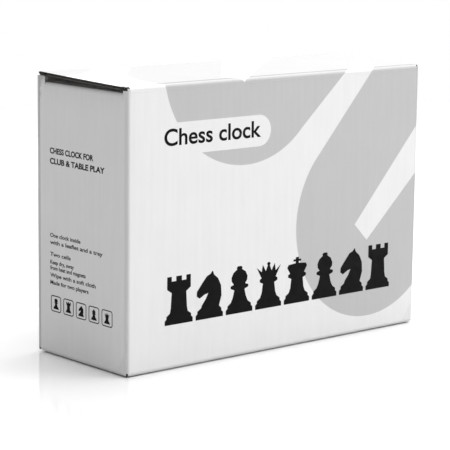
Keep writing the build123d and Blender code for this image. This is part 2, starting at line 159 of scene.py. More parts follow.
# ------------------------------------------------------------------ shared effects
def make_fibre():
    """Paper fibre: a soft cloudiness, fine flecks and a height for bump."""
    tree, n, given, out = shader_group(
        "paper_fibre",
        [("Vector", "Vector", None), ("Fleck", "Float", 0.1)],
        [("Tone", "Float"), ("Height", "Float")],
    )
    cloud = n.noise(given["Vector"], 60, 3)
    fine = n.noise(given["Vector"], 2400, 3, 0.7)
    stretched = n.vector("MULTIPLY", given["Vector"], (1.0, 1.0, 0.25))
    fleck = n.ramp(n.noise(stretched, 900, 2), 0.62, 0.75)
    tone = n.math("MULTIPLY_ADD", n.math("SUBTRACT", cloud, 0.5), 0.05, 1.0)
    tone = n.math("MULTIPLY_ADD", n.math("SUBTRACT", fine, 0.5), 0.05, tone)
    n.feed(out["Tone"], n.math("SUBTRACT", tone, n.math("MULTIPLY", fleck, given["Fleck"])))
    n.feed(out["Height"], fine)
    return tree


def make_washboard():
    """The faint ribs that the fluting presses through the printed liner."""
    tree, n, given, out = shader_group(
        "washboard",
        [("Vector", "Vector", None), ("Pitch", "Float", FLUTE_PITCH)],
        [("Rib", "Float"), ("Streak", "Float")],
    )
    across = n.add("ShaderNodeSeparateXYZ")
    n.feed(across.inputs[0], given["Vector"])
    drift = n.noise(given["Vector"], 30, 2)
    place = n.math("DIVIDE", across.outputs["X"], given["Pitch"])
    place = n.math("MULTIPLY_ADD", drift, 0.35, place)
    wave = n.math("SINE", n.math("MULTIPLY", place, math.tau))
    n.feed(out["Rib"], n.math("MULTIPLY_ADD", wave, 0.5, 0.5))
    thin = n.vector("MULTIPLY", given["Vector"], (1.0, 0.06, 1.0))
    n.feed(out["Streak"], n.noise(thin, 420, 3, 0.65))
    return tree


def make_edge_wear():
    """Scuffing along creases and cut edges, from the distance to them (below zero for a cut edge)."""
    tree, n, given, out = shader_group(
        "edge_wear",
        [("Vector", "Vector", None), ("Distance", "Float", 1.0), ("Reach", "Float", 1.2 * MM)],
        [("Mask", "Float")],
    )
    away = n.math("ABSOLUTE", given["Distance"])
    near = n.ramp(n.math("DIVIDE", away, given["Reach"]), 0.15, 1.0, 1.0, 0.0)
    broken = n.ramp(n.noise(given["Vector"], 700, 4, 0.7), 0.5, 0.68)
    patchy = n.ramp(n.noise(given["Vector"], 45, 2), 0.42, 0.62)
    n.feed(out["Mask"], n.math("MULTIPLY", near, n.math("MULTIPLY", broken, patchy)))
    return tree


def make_rounded_bar():
    """Signed distance to a bar with round ends, drawn from Start to End in the plane of the print."""
    tree, n, given, out = shader_group(
        "rounded_bar",
        [("Vector", "Vector", None), ("Start", "Vector", None), ("End", "Vector", None),
         ("Radius", "Float", 1.0)],
        [("Distance", "Float")],
    )
    run = n.vector("SUBTRACT", given["End"], given["Start"])
    away = n.vector("SUBTRACT", given["Vector"], given["Start"])
    covered, whole = n.vector("DOT_PRODUCT", away, run), n.vector("DOT_PRODUCT", run, run)
    share = n.math("DIVIDE", covered, whole, clamp=True)
    gap = n.vector("SUBTRACT", away, n.vector("SCALE", run, scale=share))
    n.feed(out["Distance"], n.math("SUBTRACT", n.vector("LENGTH", gap), given["Radius"]))
    return tree


def make_flared_bar():
    """Distance to a bar that rises at 45 degrees and widens from a round end, less a square-ended slot."""
    tree, n, given, out = shader_group(
        "flared_bar",
        [("Vector", "Vector", None), ("Centre", "Vector", None), ("Radius", "Float", 44 * MM),
         ("Slot", "Float", 5.4 * MM), ("Slot Start", "Float", -7.8 * MM), ("Slot Aside", "Float", 0.5 * MM),
         ("Flare", "Float", 0.055)],
        [("Distance", "Float")],
    )
    away = n.vector("SUBTRACT", given["Vector"], given["Centre"])
    along = n.vector("DOT_PRODUCT", away, (math.sqrt(0.5), math.sqrt(0.5), 0))
    aside = n.vector("DOT_PRODUCT", away, (math.sqrt(0.5), -math.sqrt(0.5), 0))
    corner = n.add("ShaderNodeCombineXYZ")
    n.feed(corner.inputs["X"], n.math("MINIMUM", along, 0.0))
    n.feed(corner.inputs["Y"], aside)
    width = n.math("MULTIPLY_ADD", n.math("MAXIMUM", along, 0.0), given["Flare"], given["Radius"])
    bar = n.math("SUBTRACT", n.vector("LENGTH", corner.outputs[0]), width)
    past = n.math("SUBTRACT", along, given["Slot Start"])
    half = n.math("MULTIPLY_ADD", past, given["Flare"], given["Slot"])
    off_centre = n.math("ABSOLUTE", n.math("SUBTRACT", aside, given["Slot Aside"]))
    slot = n.math("MAXIMUM", n.math("SUBTRACT", off_centre, half), n.math("MULTIPLY", past, -1.0))
    n.feed(out["Distance"], n.math("MAXIMUM", bar, n.math("MULTIPLY", slot, -1.0)))
    return tree


def make_moulded():
    """Spark-eroded texture of moulded plastic, with faint handling marks."""
    tree, n, given, out = shader_group(
        "moulded_texture",
        [("Vector", "Vector", None), ("Grain", "Float", 1800.0)],
        [("Tone", "Float"), ("Height", "Float"), ("Smudge", "Float")],
    )
    scaled = n.vector("SCALE", given["Vector"], scale=given["Grain"])
    grain = n.noise(scaled, 1.0, 3, 0.6)
    n.feed(out["Height"], grain)
    n.feed(out["Tone"], n.math("MULTIPLY_ADD", n.math("SUBTRACT", grain, 0.5), 0.12, 1.0))
    n.feed(out["Smudge"], n.ramp(n.noise(given["Vector"], 40, 4, 0.6), 0.4, 0.7))
    return tree


FIBRE, WASHBOARD, EDGE_WEAR = make_fibre(), make_washboard(), make_edge_wear()
ROUNDED_BAR, FLARED_BAR, MOULDED = make_rounded_bar(), make_flared_bar(), make_moulded()


# ------------------------------------------------------------------ materials
def new_material(name, roughness=0.5, **constants):
    material = bpy.data.materials.new(name)
    material.use_nodes = True
    n = Nodes(material.node_tree)
    shader = material.node_tree.nodes["Principled BSDF"]
    shader.inputs["Roughness"].default_value = roughness
    for key, value in constants.items():
        shader.inputs[key.replace("_", " ")].default_value = value
    return material, n, shader.inputs


def bump(n, height, distance, normal=None):
    node = n.add("ShaderNodeBump")
    node.inputs["Strength"].default_value = 1.0
    node.inputs["Distance"].default_value = distance
    n.feed(node.inputs["Height"], height)
    n.feed(node.inputs["Normal"], normal)
    return node.outputs["Normal"]


def object_coordinates(n):
    return n.add("ShaderNodeTexCoord").outputs["Object"]


# The pale pattern: round-ended diagonal bars, each with a slot left white inside it, and a white pill
# behind the title that runs off the left side of the middle bar.
BAR_ORIGIN, BAR_STEP = (-20 * MM, 125 * MM), (73 * MM, -74 * MM)
BAR_FLARES = {-1: 0.055, 0: 0.065, 1: 0.045}
PILL = {"Start": (-68 * MM, 94.7 * MM, 0), "End": (-13 * MM, 94.7 * MM, 0), "Radius": 6.6 * MM}
INK_EDGE = 0.12 * MM


def pattern_mask(n, place):
    """1 where the pale grey is printed."""
    shape = None
    for step, flare in BAR_FLARES.items():
        centre = [o + step * s for o, s in zip(BAR_ORIGIN, BAR_STEP)]
        bar = n.group(FLARED_BAR, Vector=place, Centre=(*centre, 0), Flare=flare)["Distance"]
        shape = bar if shape is None else n.math("MINIMUM", shape, bar)
    pill = n.group(ROUNDED_BAR, Vector=place, **PILL)["Distance"]
    shape = n.math("MAXIMUM", shape, n.math("MULTIPLY", pill, -1.0))
    return n.ramp(shape, -INK_EDGE, INK_EDGE, 1.0, 0.0)


def printed_board():
    """Clay-coated white liner with the pale pattern, ribs, fibre and scuffed creases, with painted shade
    along the creases, a painted shadow line behind the lid's front crease and painted shade on the dust flaps
    next to their crease.
    """
    gloss = {"Specular_IOR_Level": 0.3, "Coat_Roughness": 0.35, "Coat_IOR": 1.4}
    material, n, shader = new_material("printed_board", **gloss)
    place = n.add("ShaderNodeUVMap", uv_map="print").outputs["UV"]
    own = object_coordinates(n)
    fibre = n.group(FIBRE, Vector=own, Fleck=0.012)
    ribs = n.group(WASHBOARD, Vector=place)
    edge = n.add("ShaderNodeAttribute", attribute_name="edge").outputs["Fac"]
    wear = n.group(EDGE_WEAR, Vector=own, Distance=edge)["Mask"]
    colour = n.mix(pattern_mask(n, place), grey(0.86), grey(0.545))
    tone = n.math("MULTIPLY", fibre["Tone"], n.ramp(ribs["Streak"], 0.3, 0.7, 0.985, 1.012))
    # Painted shade: within 2 mm of a crease the print is darkened by up to a third. Cut edges, whose distance
    # is below zero, are left out. This stands in for the shade in the creases, along the walls' corners and
    # at the floor.
    wide, tight = n.ramp(edge, 0.9 * MM, 2.0 * MM, 0.14, 0.0), n.ramp(edge, 0.1 * MM, 0.9 * MM, 0.2, 0.0)
    crease = n.math("MULTIPLY", n.math("GREATER_THAN", edge, 0.0), n.math("ADD", wide, tight))
    tone = n.math("MULTIPLY", tone, n.math("SUBTRACT", 1.0, crease))
    up = n.add("ShaderNodeSeparateXYZ")
    n.feed(up.inputs[0], place)
    # Painted shadow: on the lid, a band 1.2 to 4.2 mm past its front crease is darkened by up to 0.4. It
    # stands in for the shadow in the score line there.
    score_shadow = n.math("MULTIPLY", n.ramp(up.outputs["Y"], TOP + 1.2 * MM, TOP + 2.0 * MM, 0.0, 0.4),
                   n.ramp(up.outputs["Y"], TOP + 3.0 * MM, TOP + 4.2 * MM, 1.0, 0.0))
    # Painted shade: on the dust flaps, whose print is shifted by TUCKED, the board next to the crease is
    # darkened by up to 0.65, fading out from 1.8 to 4 mm. It stands in for the shade in the gap under the
    # lid.
    on_flap = n.math("GREATER_THAN", up.outputs["X"], (BLANK[0] + TUCKED[0]) / 2)
    flap_shade = n.math("MULTIPLY", on_flap, n.ramp(up.outputs["Y"], 1.8 * MM, 4.0 * MM, 0.65, 0.0))
    tone = n.math("MULTIPLY", tone, n.math("SUBTRACT", 1.0, n.math("MAXIMUM", score_shadow, flap_shade)))
    tint = n.add("ShaderNodeCombineColor")
    for socket in tint.inputs[:3]:
        n.feed(socket, tone)
    shade = n.add("ShaderNodeMix", data_type="RGBA", blend_type="MULTIPLY")
    n.feed(shade.inputs["Factor"], 1.0)
    n.feed(shade.inputs["A"], colour)
    n.feed(shade.inputs["B"], tint.outputs[0])
    scuffed = n.math("MULTIPLY", wear, 0.55)
    n.feed(shader["Base Color"], n.mix(scuffed, shade.outputs["Result"], grey(0.5, 0.02)))
    n.feed(shader["Roughness"], n.math("MULTIPLY_ADD", fibre["Height"], 0.12, 0.4))
    n.feed(shader["Coat Weight"], n.math("MULTIPLY_ADD", wear, -0.1, 0.1))
    normal = bump(n, ribs["Rib"], 0.012 * MM)
    n.feed(shader["Normal"], bump(n, fibre["Height"], 0.006 * MM, normal=normal))
    return material


def raw_board(name, tone_colour, fleck, depth=0.02 * MM):
    """Uncoated recycled board: the inside, the fluting, the cradle."""
    material, n, shader = new_material(name, 0.9, Specular_IOR_Level=0.25)
    own = object_coordinates(n)
    fibre = n.group(FIBRE, Vector=own, Fleck=fleck)
    dark = tuple(c * 0.72 for c in tone_colour[:3]) + (1.0,)
    mottle = n.ramp(n.noise(own, 420, 5, 0.7), 0.3, 0.75)
    colour = n.mix(n.math("MULTIPLY", mottle, 0.2), tone_colour, dark)
    n.feed(shader["Base Color"], n.mix(n.ramp(fibre["Tone"], 0.86, 1.0, 0.4, 0.0), colour, dark))
    n.feed(shader["Normal"], bump(n, fibre["Height"], depth))
    return material


def black_ink():
    material, n, shader = new_material("black_ink", 0.6, Specular_IOR_Level=0.08)
    own = object_coordinates(n)
    thin = n.ramp(n.noise(own, 1500, 3, 0.7), 0.66, 0.8)
    n.feed(shader["Base Color"], n.mix(n.math("MULTIPLY", thin, 0.35), grey(0.003), grey(0.014)))
    n.feed(shader["Roughness"], n.ramp(n.noise(own, 300, 2), 0.3, 0.7, 0.5, 0.62))
    return material


def plastic(name, colour, roughness, grain=1800.0, depth=0.012 * MM, **constants):
    material, n, shader = new_material(name, roughness, **constants)
    own = object_coordinates(n)
    moulded = n.group(MOULDED, Vector=own, Grain=grain)
    dark = tuple(c * 0.82 for c in colour[:3]) + (1.0,)
    n.feed(shader["Base Color"], n.mix(n.ramp(moulded["Tone"], 0.94, 1.06), dark, colour))
    n.feed(shader["Roughness"], n.ramp(moulded["Smudge"], 0, 1, roughness - 0.05, roughness + 0.08))
    n.feed(shader["Normal"], bump(n, moulded["Height"], depth))
    return material


def metal(name, colour, roughness):
    """Plated metal with fine drawn lines."""
    material, n, shader = new_material(name, roughness, Metallic=1.0)
    own = object_coordinates(n)
    lines = n.noise(n.vector("MULTIPLY", own, (1.0, 1.0, 14.0)), 700, 3)
    dark = tuple(c * 0.75 for c in colour[:3]) + (1.0,)
    n.feed(shader["Base Color"], n.mix(n.ramp(lines, 0.35, 0.65), dark, colour))
    n.feed(shader["Roughness"], n.ramp(lines, 0.3, 0.7, roughness, roughness + 0.15))
    n.feed(shader["Normal"], bump(n, lines, 0.004 * MM))
    return material


def circuit_green():
    """Solder mask over copper tracks, which show as lighter rectilinear lines."""
    material, n, shader = new_material("circuit_green", 0.3, Coat_Weight=0.3)
    own = object_coordinates(n)
    cells = n.add("ShaderNodeTexVoronoi", feature="DISTANCE_TO_EDGE", distance="EUCLIDEAN")
    n.feed(cells.inputs["Vector"], n.vector("SNAP", own, (0.6 * MM,) * 3))
    cells.inputs["Scale"].default_value = 260
    track = n.ramp(cells.outputs["Distance"], 0.05, 0.12, 1.0, 0.0)
    n.feed(shader["Base Color"], n.mix(track, (0.01, 0.09, 0.035, 1), (0.03, 0.2, 0.08, 1)))
    n.feed(shader["Normal"], bump(n, track, 0.03 * MM))
    return material


def clear_window():
    material, n, shader = new_material("clear_window", 0.05, Transmission_Weight=1.0, IOR=1.49)
    smudge = n.group(MOULDED, Vector=object_coordinates(n), Grain=300.0)["Smudge"]
    n.feed(shader["Roughness"], n.ramp(smudge, 0, 1, 0.03, 0.12))
    n.feed(shader["Base Color"], n.mix(smudge, (0.97, 0.98, 0.97, 1), (0.93, 0.95, 0.94, 1)))
    return material


def cell_sleeve():
    """Printed sleeve of a battery: a dark body with a lighter band round its positive end."""
    material, n, shader = new_material("cell_sleeve", 0.28, Metallic=0.4)
    own = object_coordinates(n)
    split = n.add("ShaderNodeSeparateXYZ")
    n.feed(split.inputs[0], own)
    band = n.ramp(n.math("ABSOLUTE", split.outputs["X"]), 14 * MM, 14.4 * MM)
    scuffs = n.ramp(n.noise(own, 260, 4, 0.7), 0.6, 0.72)
    colour = n.mix(band, (0.02, 0.06, 0.16, 1), (0.7, 0.45, 0.16, 1))
    n.feed(shader["Base Color"], n.mix(n.math("MULTIPLY", scuffs, 0.2), colour, grey(0.6)))
    n.feed(shader["Roughness"], n.ramp(scuffs, 0, 1, 0.24, 0.45))
    return material


PRINTED, INK = printed_board(), black_ink()
INSIDE = raw_board("board_inside", grey(0.42, 0.03), 0.12)
FLUTING = raw_board("board_fluting", grey(0.14, 0.05), 0.2)
# Cut edges are near black: partly the board edge's own darker colour, mostly painted shade of the gaps
# between the liners.
CUT_EDGE_SHADED = raw_board("board_cut_edge", grey(0.03, 0.05), 0.1)
CRUSHED = raw_board("board_crushed_edge", grey(0.7), 0.04)
CRADLE = raw_board("cradle_board", grey(0.36, 0.1), 0.22)
LEAFLET = raw_board("leaflet_paper", grey(0.78, 0.005), 0.02, 0.008 * MM)
HOUSING = plastic("housing_black", grey(0.022), 0.46)
ROCKER = plastic("rocker_grey", grey(0.5), 0.34, 2600.0, 0.006 * MM)
SOFT = plastic("soft_black", grey(0.012), 0.72, 900.0, 0.02 * MM)
KEY = plastic("key_grey", grey(0.3), 0.38, 2400.0, 0.006 * MM)
FRAME_WHITE = plastic("frame_white", grey(0.7), 0.5)
PACKAGE = plastic("package_black", grey(0.02), 0.55, 3000.0)
LCD = plastic("lcd_green_grey", (0.36, 0.4, 0.32, 1), 0.2, 3000.0, 0.001 * MM)
PIPE = plastic("pipe_red", (0.55, 0.06, 0.04, 1), 0.15, 800.0, 0.002 * MM, Transmission_Weight=0.5)
LED = plastic("led_white", grey(0.75), 0.3)
CONTACT_RUBBER = plastic("contact_rubber", grey(0.1), 0.8, 900.0)
STEEL = metal("plated_steel", grey(0.62), 0.28)
NICKEL = metal("nickel", grey(0.7, 0.02), 0.14)
GREEN, CLEAR, SLEEVE = circuit_green(), clear_window(), cell_sleeve()

WHITE_BOARD = raw_board("board_white", grey(0.82), 0.02, 0.008 * MM)
CAD_MATERIALS = {
    WHITE_BOARD: ["bottom_flap_front", "bottom_flap_back", "bottom_flap_left", "bottom_flap_right"],
    INSIDE: ["glue_flap"], CRADLE: ["inner_cradle"], LEAFLET: ["leaflet"],
    HOUSING: ["clock_front_shell", "clock_rear_shell", "battery_door", "rocker_bracket", "battery_tray"],
    ROCKER: ["rocker_lever"],
    SOFT: ["rocker_pads", "rocker_stops", "clock_feet"],
    KEY: ["power_slider"] + [f"function_key_{i}" for i in range(1, 6)],
    FRAME_WHITE: ["display_frame"],
    PACKAGE: ["tact_switches", "control_chip", "buzzer", "hall_sensors", "power_switch_body"],
    LCD: ["lcd_panel"], PIPE: ["light_pipes"], LED: ["indicator_leds"], CONTACT_RUBBER: ["zebra_strips"],
    STEEL: ["case_screws", "pcb_screws", "bracket_screws", "rocker_axle", "battery_springs",
            "battery_contacts", "battery_door_screw"],
    NICKEL: ["rocker_magnets"], GREEN: ["main_pcb", "sensor_board"], CLEAR: ["lcd_window"],
    SLEEVE: ["battery_cells"],
}
for material, names in CAD_MATERIALS.items():
    for name in names:
        node = frame["nodes"][name]
        node.data.materials.clear()
        node.data.materials.append(material)


# ------------------------------------------------------------------ mesh helpers
def link(name, mesh):
    thing = bpy.data.objects.new(name, mesh)
    bpy.context.scene.collection.objects.link(thing)
    return thing


def finished(thing, angle=35):
    """Smooth faces with hard edges where they turn by more than the angle."""
    thing.data.polygons.foreach_set("use_smooth", [True] * len(thing.data.polygons))
    thing.data.set_sharp_from_angle(angle=math.radians(angle))
    return thing


# A lid that has been opened before sits a little to the left, and its rear left corner curls up.
CURL, LID_SHIFT = 1.0 * MM, 1.7 * MM


def sprung(points):
    """Bends the points of the closed lid. Its left edge moves only behind the front crease."""
    across = np.clip((-points[..., 0] - 10 * MM) / (72 * MM), 0, 1)
    back = np.clip((points[..., 1] - LID_HINGE.y) / (58 * MM), 0, 1)
    clear = np.clip((points[..., 1] - FRONT - 0.5 * MM) / (1.9 * MM), 0, 1)
    raised = np.array(points, float)
    raised[..., 0] -= LID_SHIFT * across**2 * clear
    raised[..., 2] += CURL * across**2 * back**1.4
    return raised


class Panel:
    """Axes of a flat panel of board: across, up (away from its lower crease) and out, through its print."""

    def __init__(self, origin, across, up, shift=(0.0, 0.0), relief=None):
        self.origin, self.across, self.up = (np.array(v, float) for v in (origin, across, up))
        self.out = np.cross(self.across, self.up)
        self.shift = shift
        self.relief = relief or (lambda u, v: 0 * u)

    def at(self, u, v, depth=0.0):
        """Points at u, v, sunk by depth below the printed face."""
        u, v, depth = np.broadcast_arrays(u, v, depth)
        rise = self.relief(u, v) - depth
        flat = self.origin + u[..., None] * self.across + v[..., None] * self.up
        return flat + rise[..., None] * self.out

    def uv(self, u, v):
        u, v = np.broadcast_arrays(u, v)
        return np.stack([u + self.shift[0], v + self.shift[1]], -1)


def steps(low, high, inner, low_fold, high_fold, sunk=0.0, fold=math.pi / 2):
    """Positions from low to high with the drop below the face at each.

    At a folded end they run on round half of the crease, whose outer radius is the board's thickness.
    inner is the list of places between, as shares of the flat stretch.
    """
    radius = max(BOARD - sunk, 0.08 * MM)
    reach = BOARD * math.tan(fold / 2)
    turns = np.linspace(fold / 2, 0, ARC_STEPS + 1)[:-1]
    start = low + reach if low_fold else low
    end = high - reach if high_fold else high
    flat = start + (end - start) * np.array(inner)
    place, drop = list(flat), [sunk] * len(flat)
    if low_fold:
        place = list(start - radius * np.sin(turns)) + place
        drop = list(sunk + radius * (1 - np.cos(turns))) + drop
    if high_fold:
        place += list(end + radius * np.sin(turns[::-1]))
        drop += list(sunk + radius * (1 - np.cos(turns[::-1])))
    return np.array(place), np.array(drop)


def slab(builder, top, bottom, material, uv=None, edge=None, under=None, side=None):
    """Adds a closed thin solid between two grids of points (rows, columns, 3) to a mesh in the making."""
    under = material if under is None else under
    side = material if side is None else side
    rows, columns = top.shape[:2]
    start = len(builder["points"])
    count = rows * columns
    builder["points"] += [tuple(p) for p in top.reshape(-1, 3)] + [tuple(p) for p in bottom.reshape(-1, 3)]
    flat_uv = np.zeros((count, 2)) if uv is None else uv.reshape(-1, 2)
    builder["uv"] += [tuple(p) for p in flat_uv] * 2
    builder["edge"] += list(np.full(count, 1.0) if edge is None else edge.reshape(-1)) * 2
    faces, marks = [], []
    index = np.arange(count).reshape(rows, columns) + start
    for r in range(rows - 1):
        for c in range(columns - 1):
            quad = [index[r, c], index[r, c + 1], index[r + 1, c + 1], index[r + 1, c]]
            faces += [quad, [i + count for i in reversed(quad)]]
            marks += [material, under]
    rim = list(index[0, :]) + list(index[1:, -1]) + list(index[-1, -2::-1]) + list(index[-2:0:-1, 0])
    for a, b in zip(rim, rim[1:] + rim[:1]):
        faces.append([b, a, a + count, b + count])
        marks.append(side)
    builder["faces"] += faces
    builder["materials"] += marks


def new_builder():
    return {"points": [], "faces": [], "materials": [], "uv": [], "edge": []}


def build(name, builder, materials, merge=False, bend=None):
    mesh = bpy.data.meshes.new(name)
    points = np.array(builder["points"])
    points = bend(points) if bend else points
    mesh.from_pydata([tuple(p) for p in points], [], [[int(i) for i in f] for f in builder["faces"]])
    for material in materials:
        mesh.materials.append(material)
    mesh.polygons.foreach_set("material_index", builder["materials"])
    layer = mesh.uv_layers.new(name="print")
    corners = np.empty(len(mesh.loops), np.int32)
    mesh.loops.foreach_get("vertex_index", corners)
    layer.data.foreach_set("uv", np.array(builder["uv"], np.float32)[corners].ravel())
    edge = mesh.attributes.new("edge", "FLOAT", "POINT")
    edge.data.foreach_set("value", np.array(builder["edge"], np.float32))
    if merge:
        work = bmesh.new()
        work.from_mesh(mesh)
        bmesh.ops.remove_doubles(work, verts=work.verts, dist=2e-6)
        inside = [f for f in work.faces if all(len(e.link_faces) > 2 for e in f.edges)]
        bmesh.ops.delete(work, geom=inside, context="FACES_ONLY")
        work.to_mesh(mesh)
        work.free()
    return finished(link(name, mesh))


# ------------------------------------------------------------------ fluting
def fluting_tree():
    """Geometry nodes: bends a flat sheet into a wave and gives it a thickness."""
    tree = bpy.data.node_groups.new("fluting", "GeometryNodeTree")
    wanted = [("Geometry", "Geometry"), ("Across", "Vector"), ("Out", "Vector"), ("Pitch", "Float"),
              ("Height", "Float"), ("Thickness", "Float"), ("Material", "Material")]
    for title, kind in wanted:
        tree.interface.new_socket(title, in_out="INPUT", socket_type="NodeSocket" + kind)
    tree.interface.new_socket("Geometry", in_out="OUTPUT", socket_type="NodeSocketGeometry")
    n = Nodes(tree)
    given, out = n.add("NodeGroupInput").outputs, n.add("NodeGroupOutput").inputs
    along = n.vector("DOT_PRODUCT", n.add("GeometryNodeInputPosition").outputs[0], given["Across"])
    angle = n.math("MULTIPLY", n.math("DIVIDE", along, given["Pitch"]), math.tau)
    reach = n.math("MULTIPLY", n.math("SINE", angle), n.math("MULTIPLY", given["Height"], 0.5))
    waved = n.add("GeometryNodeSetPosition")
    n.feed(waved.inputs["Geometry"], given["Geometry"])
    n.feed(waved.inputs["Offset"], n.vector("SCALE", given["Out"], scale=reach))
    thick = n.add("GeometryNodeExtrudeMesh", mode="FACES")
    n.feed(thick.inputs["Mesh"], waved.outputs[0])
    n.feed(thick.inputs["Offset"], given["Out"])
    n.feed(thick.inputs["Offset Scale"], given["Thickness"])
    thick.inputs["Individual"].default_value = False
    under = n.add("GeometryNodeFlipFaces")
    n.feed(under.inputs[0], waved.outputs[0])
    both = n.add("GeometryNodeJoinGeometry")
    tree.links.new(thick.outputs["Mesh"], both.inputs[0])
    tree.links.new(under.outputs[0], both.inputs[0])
    welded = n.add("GeometryNodeMergeByDistance")
    n.feed(welded.inputs["Geometry"], both.outputs[0])
    welded.inputs["Distance"].default_value = 1e-6
    real = n.add("GeometryNodeRealizeInstances")
    n.feed(real.inputs[0], welded.outputs[0])
    dressed = n.add("GeometryNodeSetMaterial")
    n.feed(dressed.inputs["Geometry"], real.outputs[0])
    n.feed(dressed.inputs["Material"], given["Material"])
    n.feed(out[0], dressed.outputs[0])
    return tree


FLUTING_TREE = fluting_tree()


def apply_tree(thing, tree, values):
    """Runs a geometry tree on an object and keeps the result as its plain mesh."""
    modifier = thing.modifiers.new("made", "NODES")
    modifier.node_group = tree
    sockets = {item.name: item.identifier for item in tree.interface.items_tree if item.in_out == "INPUT"}
    for title, value in values.items():
        modifier[sockets[title]] = value
    bpy.context.view_layer.update()
    mesh = bpy.data.meshes.new_from_object(thing.evaluated_get(bpy.context.evaluated_depsgraph_get()))
    thing.modifiers.clear()
    old, thing.data = thing.data, mesh
    mesh.name = thing.name
    bpy.data.meshes.remove(old)
    return thing


def add_fluting(name, panel, u_range, low, high, bend=None):
    """Wavy middle sheet of a panel, its ribs running up it. low(u) and high(u) are its ends."""
    count = max(4, round((u_range[1] - u_range[0]) / FLUTE_PITCH * 10))
    u = np.linspace(*u_range, count)
    depth = BOARD / 2 + FLUTE_SHEET / 2
    shares = np.linspace(0, 1, 13 if bend else 2)
    grid = np.stack([panel.at(u, low(u) + (high(u) - low(u)) * share, depth) for share in shares])
    points = [tuple(p) for p in (bend(grid) if bend else grid).reshape(-1, 3)]
    starts = [i for i in range(count * (len(shares) - 1)) if (i + 1) % count]
    faces = [(i, i + 1, count + i + 1, count + i) for i in starts]
    mesh = bpy.data.meshes.new(name)
    mesh.from_pydata(points, [], faces)
    values = {"Across": tuple(panel.across), "Out": tuple(panel.out), "Pitch": FLUTE_PITCH,
              "Height": BOARD - 2 * LINER - FLUTE_SHEET - 0.02 * MM, "Thickness": FLUTE_SHEET,
              "Material": FLUTING}
    return finished(apply_tree(link(name, mesh), FLUTING_TREE, values), 60)


# ------------------------------------------------------------------ walls of the carton
def level(value):
    return lambda u: value + 0 * u


def bow(size, u_range, v_range):
    """Slight bulge of a panel between its creases, with an uneven skin."""
    def relief(u, v):
        a = np.clip((u - u_range[0]) / (u_range[1] - u_range[0]), 0, 1)
        b = np.clip((v - v_range[0]) / (v_range[1] - v_range[0]), 0, 1)
        envelope = np.sin(math.pi * a) * np.sin(math.pi * b)
        uneven = 0.3 * np.sin(9 * a + 4 * b) + 0.2 * np.sin(4 * a - 11 * b + 1)
        return size * envelope * (1 + uneven)
    return relief


X, Y, Z = (1, 0, 0), (0, 1, 0), (0, 0, 1)
MINUS_X, MINUS_Y = (-1, 0, 0), (0, -1, 0)
STRIP = 0.9 * MM            # flat stretch of a moving crease's strip beyond its bend
TUCK_STRIP = 2.4 * MM       # the same at the tuck, longer because the lid's corner is curled there
NOTCH_RADIUS = 11 * MM
NOTCH_BASE = 104 * MM

front_wall = Panel((0, FRONT, 0), X, Z, relief=bow(0.25 * MM, (LEFT, RIGHT), (0, TOP)))
back_wall = Panel((0, BACK, 0), MINUS_X, Z, relief=bow(0.2 * MM, (LEFT, RIGHT), (0, TOP)))
left_wall = Panel((LEFT, 0, 0), MINUS_Y, Z, BLANK, bow(0.2 * MM, (FRONT, BACK), (0, SIDE_TOP)))
right_wall = Panel((RIGHT, 0, 0), Y, Z, BLANK, bow(0.3 * MM, (FRONT, BACK), (0, SIDE_TOP)))


def notch_top(u):
    """Upper edge of the back panel, with the thumb notch."""
    inside = np.clip(NOTCH_RADIUS**2 - u**2, 0, None)
    return BACK_TOP - np.sqrt(inside)


def edge_distance(u, v, u_range, v_range):
    return np.minimum.reduce([u - u_range[0], u_range[1] - u, v - v_range[0], v_range[1] - v]).clip(0)


SIDE_CUT = SIDE_TOP - BOARD - STRIP
LEFT_TOP = SIDE_TOP - 0.6 * MM      # the left flap is pressed lower, which opens the gap under the lid
LEFT_CUT = LEFT_TOP - BOARD - STRIP
FRONT_CUT = TOP - BOARD - STRIP
CORNER_TOP = SIDE_TOP + 0.15 * MM
REAR_CORNER_TOP, ARC_TOP = BACK_TOP - 0.2 * MM, TOP - 0.7 * MM
SLOT = 0.08 * MM            # cut between a dust flap and the wall's corner
FLAP_FRONT, FLAP_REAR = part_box("dust_flap_left")[0].y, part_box("dust_flap_left")[1].y


def wall_rows(low, top):
    """Heights shared by all the walls, so that they meet point to point at the corners."""
    shared = list(np.linspace(BOARD, NOTCH_BASE, 14)) + list(np.linspace(NOTCH_BASE, BACK_TOP, 6)[1:])
    shared = sorted(shared + [LEFT_CUT, SIDE_CUT, FRONT_CUT])
    return [low] + [v for v in shared if low + 0.3 * MM < v < top - 0.3 * MM] + [top]


